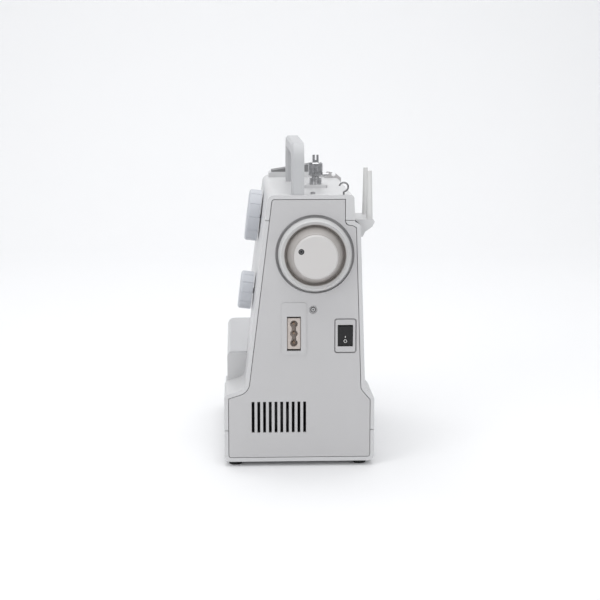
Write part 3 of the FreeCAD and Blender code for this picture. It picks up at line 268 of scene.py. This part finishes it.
# %% Dress the nodes
slot_of = {row["node"]: row["material_slot"] for row in frame["record"]["subparts"]}
for name, obj in nodes.items():
    obj.data.materials.clear()
    obj.data.materials.append(looks[slot_of[name]])
print("dressed", len(slot_of))

# %% [markdown]
# ## Pieces with a finish of their own
# A few pieces differ from the rest of their slot: the handle is a shade darker than the covers, the guide
# post is bright with small dark reflections painted into its colour, the eyelet plate is plain grey and
# the hook is dark wire. The motor's shaft and pulley sit in the dark behind the vents and take the frame's
# darkened finish, whose low value is painted shade. A new slot for each would mean packing the record
# again, so they keep their slot and only swap the material.

# %% Own finishes
own_looks = {
    "carry_handle": finish("handle_shell", base=(0.50, 0.505, 0.515), tint=(0.46, 0.46, 0.465), amount=0.3,
                           rough=(0.4, 0.5)),
    # the strong, fine dark tint paints small dark reflections into the post's bright colour
    "thread_guide_post": finish("post_chrome_painted_reflections", base=(0.82, 0.82, 0.83), tint=(0.10, 0.10, 0.105),
                                amount=0.9, rough=(0.05, 0.14), metallic=1.0, spot=300.0),
    "rear_eyelet_plate": finish("eyelet_grey", base=(0.50, 0.49, 0.49), tint=(0.44, 0.43, 0.43), amount=0.3,
                                rough=(0.3, 0.4)),
    "hook_guide": finish("hook_wire", base=(0.24, 0.24, 0.245), tint=grey(0.16), amount=0.5,
                         rough=(0.2, 0.3), metallic=1.0),
    # the motor's shaft and pulley take the darkened cast finish: painted shade behind the vents
    "motor_shaft": looks["cast"],
    "motor_pulley": looks["cast"],
}
for name, look in own_looks.items():
    nodes[name].data.materials[0] = look
print("own finishes", sorted(own_looks))

# %% [markdown]
# ## Rings of painted shade
# The handwheel's rim is pale, and its groove and cone are darker and warmer: painted shade in a warm tint,
# darkest in the groove. A screw head has a dark edge and a dark drive, which are painted shadow in the gap
# round it and painted shade in its recess. The face could be cut into several materials, but a CAD node's
# mesh is left alone. Every one of these rings is round, so the distance from the axis tells where a point
# lies: it is divided by the radius of the ringed face, sent through a colour ramp, and multiplied over the
# mottled colour.

# %% Distance from the axis
across_the_axis = (0, 1, 1)


def share_of_radius(tree, node, radius):
    """Socket with the distance from the node's own X axis, as a share of a radius."""
    low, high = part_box(node)
    flat = tree.nodes.new("ShaderNodeVectorMath")
    flat.operation = "MULTIPLY"
    flat.inputs[1].default_value = across_the_axis
    tree.links.new(tree.nodes["Texture Coordinate"].outputs["Object"], flat.inputs[0])
    away = tree.nodes.new("ShaderNodeVectorMath")
    away.operation = "DISTANCE"
    away.inputs[1].default_value = (0.0, (low[1] + high[1]) / 2, (low[2] + high[2]) / 2)
    tree.links.new(flat.outputs["Vector"], away.inputs[0])
    share = tree.nodes.new("ShaderNodeMath")
    share.operation = "DIVIDE"
    share.inputs[1].default_value = radius
    tree.links.new(away.outputs["Value"], share.inputs[0])
    return share.outputs[0]


print("rings are measured across", across_the_axis)

# %% [markdown]
# ## Ringed finish
# The usual finish is made first, and its mottled colour is then led through one more Mix node. The ramp
# holds one stop for each ring: a place from 0 at the axis to 1 at the edge, and a colour that is multiplied
# in. White leaves the finish as it is. A new ramp has two stops, so the missing ones are added in its middle
# before all get their places.

# %% Ringed finish
ring_tint = 0.9
ring_amount = 0.3
middle_of_ramp = 0.5


def ringed_finish(name, node, base, rings, radius, rough, metallic=0.0):
    mat = finish(name, base, tuple(c * ring_tint for c in base), ring_amount, rough, metallic)
    tree = mat.node_tree
    shader = tree.nodes["Principled BSDF"]
    mottled = shader.inputs["Base Color"].links[0].from_socket
    ramp = tree.nodes.new("ShaderNodeValToRGB")
    while len(ramp.color_ramp.elements) < len(rings):
        ramp.color_ramp.elements.new(middle_of_ramp)
    for element, (place, shade) in zip(ramp.color_ramp.elements, rings):
        element.position = place
        element.color = (*shade, 1)
    tree.links.new(share_of_radius(tree, node, radius), ramp.inputs["Fac"])
    mixed = mix_colours(tree, mottled, ramp.outputs["Color"], blend="MULTIPLY")
    mixed.inputs[mix_factor].default_value = 1.0
    tree.links.new(mixed.outputs[mix_result], shader.inputs["Base Color"])
    nodes[node].data.materials[0] = mat


print("tint of a ringed finish", ring_tint)

# %% [markdown]
# ## Handwheel and screw heads
# On the wheel a warm painted shade runs from the axis to the groove at about four fifths of the radius,
# darkest in the groove, and the rim outside it keeps its own colour. On a screw the drive is painted dark
# as the shade in its recess, the head round it is bright and the gap at its edge is painted black as its
# shadow.

# %% Handwheel and screws
white = grey(1.0)
# painted shade: the wheel's face inside the rim is darkened in a warm tint, most in the groove near 0.8 of
# the radius
wheel_shade_rings = [(0.0, (0.72, 0.69, 0.67)), (0.62, (0.72, 0.68, 0.66)), (0.76, (0.68, 0.64, 0.61)),
               (0.79, (0.64, 0.59, 0.56)), (0.825, (0.64, 0.60, 0.57)), (0.855, white), (1.0, white)]
# painted shade: the dark drive is the shade in its recess, and the black edge is the shadow in the gap round
# the head
screw_shade_rings = [(0.0, grey(0.16)), (0.30, grey(0.20)), (0.38, grey(0.9)), (0.70, white), (0.80, grey(0.05)),
               (1.0, grey(0.03))]
wheel_radius = 0.0366
panel_screw_radius = 0.0026
wheel_screw_radius = 0.0029
# painted shade on the handwheel's face
ringed_finish("wheel_painted_shade", "handwheel", (0.60, 0.60, 0.595), wheel_shade_rings, wheel_radius, (0.35, 0.45))
# the screw heads' dark centre and dark edge are painted shade and painted shadow
ringed_finish("panel_screw_painted_shade", "panel_screw", (0.52, 0.52, 0.525), screw_shade_rings, panel_screw_radius,
              (0.4, 0.5), metallic=0.2)
ringed_finish("wheel_screw_painted_shade", "handwheel_screw", (0.12, 0.12, 0.125), screw_shade_rings, wheel_screw_radius,
              (0.35, 0.5), metallic=0.6)
print("rings on the wheel and on a screw", len(wheel_shade_rings), len(screw_shade_rings))

# %% [markdown]
# ## Softened edges
# No moulded edge is sharp: it catches a thin line of light. The small radii could be fillets in the
# solids, which makes them heavy for little gain. A Bevel modifier does it on the node as it stands, and its
# angle limit leaves the facets of round faces alone. Covers get about half a millimetre and the handle,
# which is held, gets more.

# %% Edge bevels
edge_widths = {
    "front_cover": 0.0006, "rear_cover": 0.0006, "top_cover": 0.0006, "right_end_panel": 0.0005,
    "left_end_cap": 0.0008, "base_pan": 0.0006, "bed_shell": 0.0006, "looper_cover": 0.0006,
    "carry_handle": 0.0022, "spool_shelf": 0.0009, "handwheel": 0.0009, "handwheel_cap": 0.0006,
    "take_up_cover": 0.0006, "switch_rocker": 0.0005, "throat_cover": 0.0005, "guide_pad": 0.0006,
    "cloth_plate": 0.0004, "presser_lifter": 0.0008,
}
edge_steps = 3
sharpest_facet = math.radians(32)
for name, width in edge_widths.items():
    bevel = nodes[name].modifiers.new("soft_edge", "BEVEL")
    bevel.width = width
    bevel.segments = edge_steps
    bevel.limit_method = "ANGLE"
    bevel.angle_limit = sharpest_facet
print("bevels", len(edge_widths))

# %% [markdown]
# ## The rocker's lower face
# The switch has a pale line and a ring on the lower half of its rocker. They could be painted by a texture,
# but printed marks this small need crisp edges, so they are thin solids that ride on the rocker and tip
# with it. The lower face leans, and these values give a point on it and lay a mark along it.

# %% Rocker face
rocker_low, rocker_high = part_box("switch_rocker")
rocker_y = (rocker_low[1] + rocker_high[1]) / 2
pivot_z = (rocker_low[2] + rocker_high[2]) / 2
face_x = 0.1269
face_drop = 0.0007
half_rocker = 0.0097
face_tilt = math.atan(face_drop / half_rocker)


def on_face(below_pivot):
    """Point on the rocker's lower face, that far below its pivot."""
    return Vector((face_x - face_drop * below_pivot / half_rocker, rocker_y, pivot_z - below_pivot))


def lay_on_face(bm, centre):
    bmesh.ops.rotate(bm, cent=centre, matrix=Matrix.Rotation(face_tilt, 3, "Y"), verts=bm.verts)


print("rocker face leans", round(math.degrees(face_tilt), 1), "degrees")

# %% [markdown]
# ## From a mesh to a piece
# A mark becomes a piece of the machine in three steps: its mesh keeps its place, with the object at the
# origin, it takes the slot of its plastic, and it rides on the body of the rocker. The object could be moved
# instead of its mesh, but then a pattern in object space would slide when the machine is exported.

# %% Mark helper
mark_thick = 0.0004
mark_white = finish("mark_white", base=(0.72, 0.72, 0.70), tint=(0.62, 0.62, 0.60), amount=0.3,
                    rough=(0.4, 0.5))


def mesh_object(name, bm, material):
    bmesh.ops.recalc_face_normals(bm, faces=bm.faces)
    mesh = bpy.data.meshes.new(name)
    bm.to_mesh(mesh)
    bm.free()
    mesh.materials.append(material)
    obj = bpy.data.objects.new(name, mesh)
    scene.collection.objects.link(obj)
    return obj


def add_mark(name, bm, centre):
    lay_on_face(bm, centre)
    obj = mesh_object(name, bm, mark_white)
    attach(obj, "rocker")
    print(name, "faces", len(obj.data.polygons))


print("marks are", mark_thick * 1000, "mm thick")

# %% [markdown]
# ## Line mark
# The line is a short bar. A flat plane would do for the eye, but it would flicker where it lies on the face.
# A cube, scaled thin and moved half into the face, stands a little proud of it and is closed all round.

# %% Line mark
line_below_pivot = 0.0012
line_width = 0.0007
line_height = 0.0018
line_centre = on_face(line_below_pivot)
line = bmesh.new()
bmesh.ops.create_cube(line, size=1.0)
bmesh.ops.scale(line, vec=(mark_thick, line_width, line_height), verts=line.verts)
bmesh.ops.translate(line, vec=line_centre, verts=line.verts)
add_mark("rocker_line_mark", line, line_centre)

# %% [markdown]
# ## Ring mark
# The ring is a small rectangle spun once round, which is the shape of a washer. It starts as a grid of one
# square with a side of 1, and the operator asks for half of that side. The rectangle keeps only its edges,
# because a face would stay inside the ring, and the spin merges its last copy with the first, so the ring
# is closed.

# %% Ring mark
ring_below_pivot = 0.0056
ring_radius = 0.0015
ring_width = 0.0005
ring_steps = 28
ring_weld = 1e-6
full_turn = 2 * math.pi
half_side = 0.5
ring_centre = on_face(ring_below_pivot)
ring = bmesh.new()
bmesh.ops.create_grid(ring, x_segments=1, y_segments=1, size=half_side)
bmesh.ops.delete(ring, geom=ring.faces[:], context="FACES_ONLY")
bmesh.ops.scale(ring, vec=(mark_thick, ring_width, 1), verts=ring.verts)
bmesh.ops.translate(ring, vec=ring_centre + Vector((0, ring_radius, 0)), verts=ring.verts)
bmesh.ops.spin(ring, geom=ring.verts[:] + ring.edges[:], cent=ring_centre, axis=(1, 0, 0),
               angle=full_turn, steps=ring_steps, use_merge=True)
bmesh.ops.remove_doubles(ring, verts=ring.verts, dist=ring_weld)
add_mark("rocker_ring_mark", ring, ring_centre)

# %% [markdown]
# ## Floor and backdrop
# Product shots use a sheet of paper that bends from the table up the wall, so no horizon shows. It starts
# as one flat square. Its rear edge is spun a quarter turn for the bend and then extruded straight up.

# %% Backdrop
sheet_front = 3.0
sheet_rear = -1.6
sheet_width = 10.0
sheet_bend = 0.6
sheet_top = 4.0
bend_steps = 12
quarter_turn = math.radians(90)
sheet_weld = 1e-5


def sweep():
    bm = bmesh.new()
    bmesh.ops.create_grid(bm, x_segments=1, y_segments=1, size=half_side)
    bmesh.ops.scale(bm, vec=(sheet_front - sheet_rear, sheet_width, 1), verts=bm.verts)
    bmesh.ops.translate(bm, vec=((sheet_front + sheet_rear) / 2, 0, 0), verts=bm.verts)
    rear_edge = [e for e in bm.edges if all(v.co.x < sheet_rear + sheet_bend / 2 for v in e.verts)]
    turned = bmesh.ops.spin(bm, geom=rear_edge, cent=(sheet_rear, 0, sheet_bend), axis=(0, 1, 0),
                            angle=quarter_turn, steps=bend_steps)
    wall_edge = [e for e in turned["geom_last"] if isinstance(e, bmesh.types.BMEdge)]
    raised = bmesh.ops.extrude_edge_only(bm, edges=wall_edge)["geom"]
    wall_top = [v for v in raised if isinstance(v, bmesh.types.BMVert)]
    bmesh.ops.translate(bm, vec=(0, 0, sheet_top - sheet_bend), verts=wall_top)
    bmesh.ops.remove_doubles(bm, verts=bm.verts, dist=sheet_weld)
    for face in bm.faces:
        face.smooth = True
    return bm


paper = finish("backdrop", base=(0.92, 0.92, 0.925), tint=(0.906, 0.906, 0.911), amount=0.2,
               rough=(0.7, 0.8), depth=0.0, spot=3.0)
backdrop = mesh_object("backdrop", sweep(), paper)
print("backdrop faces", len(backdrop.data.polygons))

# %% [markdown]
# ## Lamps
# Soft, even light suits a pale machine, because a small lamp would burn its covers white. Four large area
# lamps do it: one from above for the top faces, one for the paper behind, and two weaker ones for the front
# and the handwheel end. An object turned by angles is hard to read, so each lamp has a place and an aim.

# %% Lamps
lamps = {
    "top_light": dict(place=(0.3, -0.1, 1.7), aim=(0.0, 0.0, 0.1), size=(1.6, 1.6), power=15),
    "back_light": dict(place=(-1.2, 0.0, 2.4), aim=(-2.0, 0.0, 0.4), size=(3.0, 1.2), power=22),
    "front_light": dict(place=(1.5, -1.3, 1.0), aim=(0.0, 0.0, 0.17), size=(1.0, 1.0), power=7.5),
    "end_light": dict(place=(2.0, 0.6, 0.9), aim=(0.1, 0.0, 0.17), size=(1.2, 1.2), power=7),
}


def point_at(obj, place, aim):
    obj.location = place
    obj.rotation_euler = (Vector(aim) - Vector(place)).to_track_quat("-Z", "Y").to_euler()


def lamp(name, place, aim, size, power):
    data = bpy.data.lights.new(name, "AREA")
    data.shape = "RECTANGLE"
    data.size, data.size_y = size
    data.energy = power
    obj = bpy.data.objects.new(name, data)
    scene.collection.objects.link(obj)
    point_at(obj, place, aim)


for name, values in lamps.items():
    lamp(name, **values)
print("lamps", sorted(lamps))

# %% [markdown]
# ## World
# What the lamps leave dark is filled by the world, which also shows in the plated pieces. A picture of a
# room could stand there, but a plain, dim and slightly cool colour is enough for a plain studio.

# %% World
sky_colour = (0.95, 0.97, 1.0, 1)
sky_strength = 0.45
world = bpy.data.worlds.new("studio")
scene.world = world
world.use_nodes = True
sky = world.node_tree.nodes["Background"]
sky.inputs["Color"].default_value = sky_colour
sky.inputs["Strength"].default_value = sky_strength
print("world strength", sky_strength)

# %% [markdown]
# ## Camera
# The machine is seen along its length from the handwheel end, a little from above, so the far end is hidden
# and the end panel faces the viewer. A short lens close by would swell the panel and shrink what is behind
# it. A long lens from one and a half metres keeps its edges nearly parallel. The Standard view transform
# shows the pale plastic as bright as its material says.

# %% Camera
camera_place = (1.6085, -0.0636, 0.4057)
camera_aim = (0.1275, 0.0005, 0.171)
camera_lens = 90.0
camera_sensor = 36.0
cam_data = bpy.data.cameras.new("camera")
cam_data.lens = camera_lens
cam_data.sensor_width = camera_sensor
cam = bpy.data.objects.new("camera", cam_data)
scene.collection.objects.link(cam)
point_at(cam, camera_place, camera_aim)
scene.camera = cam
scene.view_settings.view_transform = "Standard"
print("camera", camera_place)
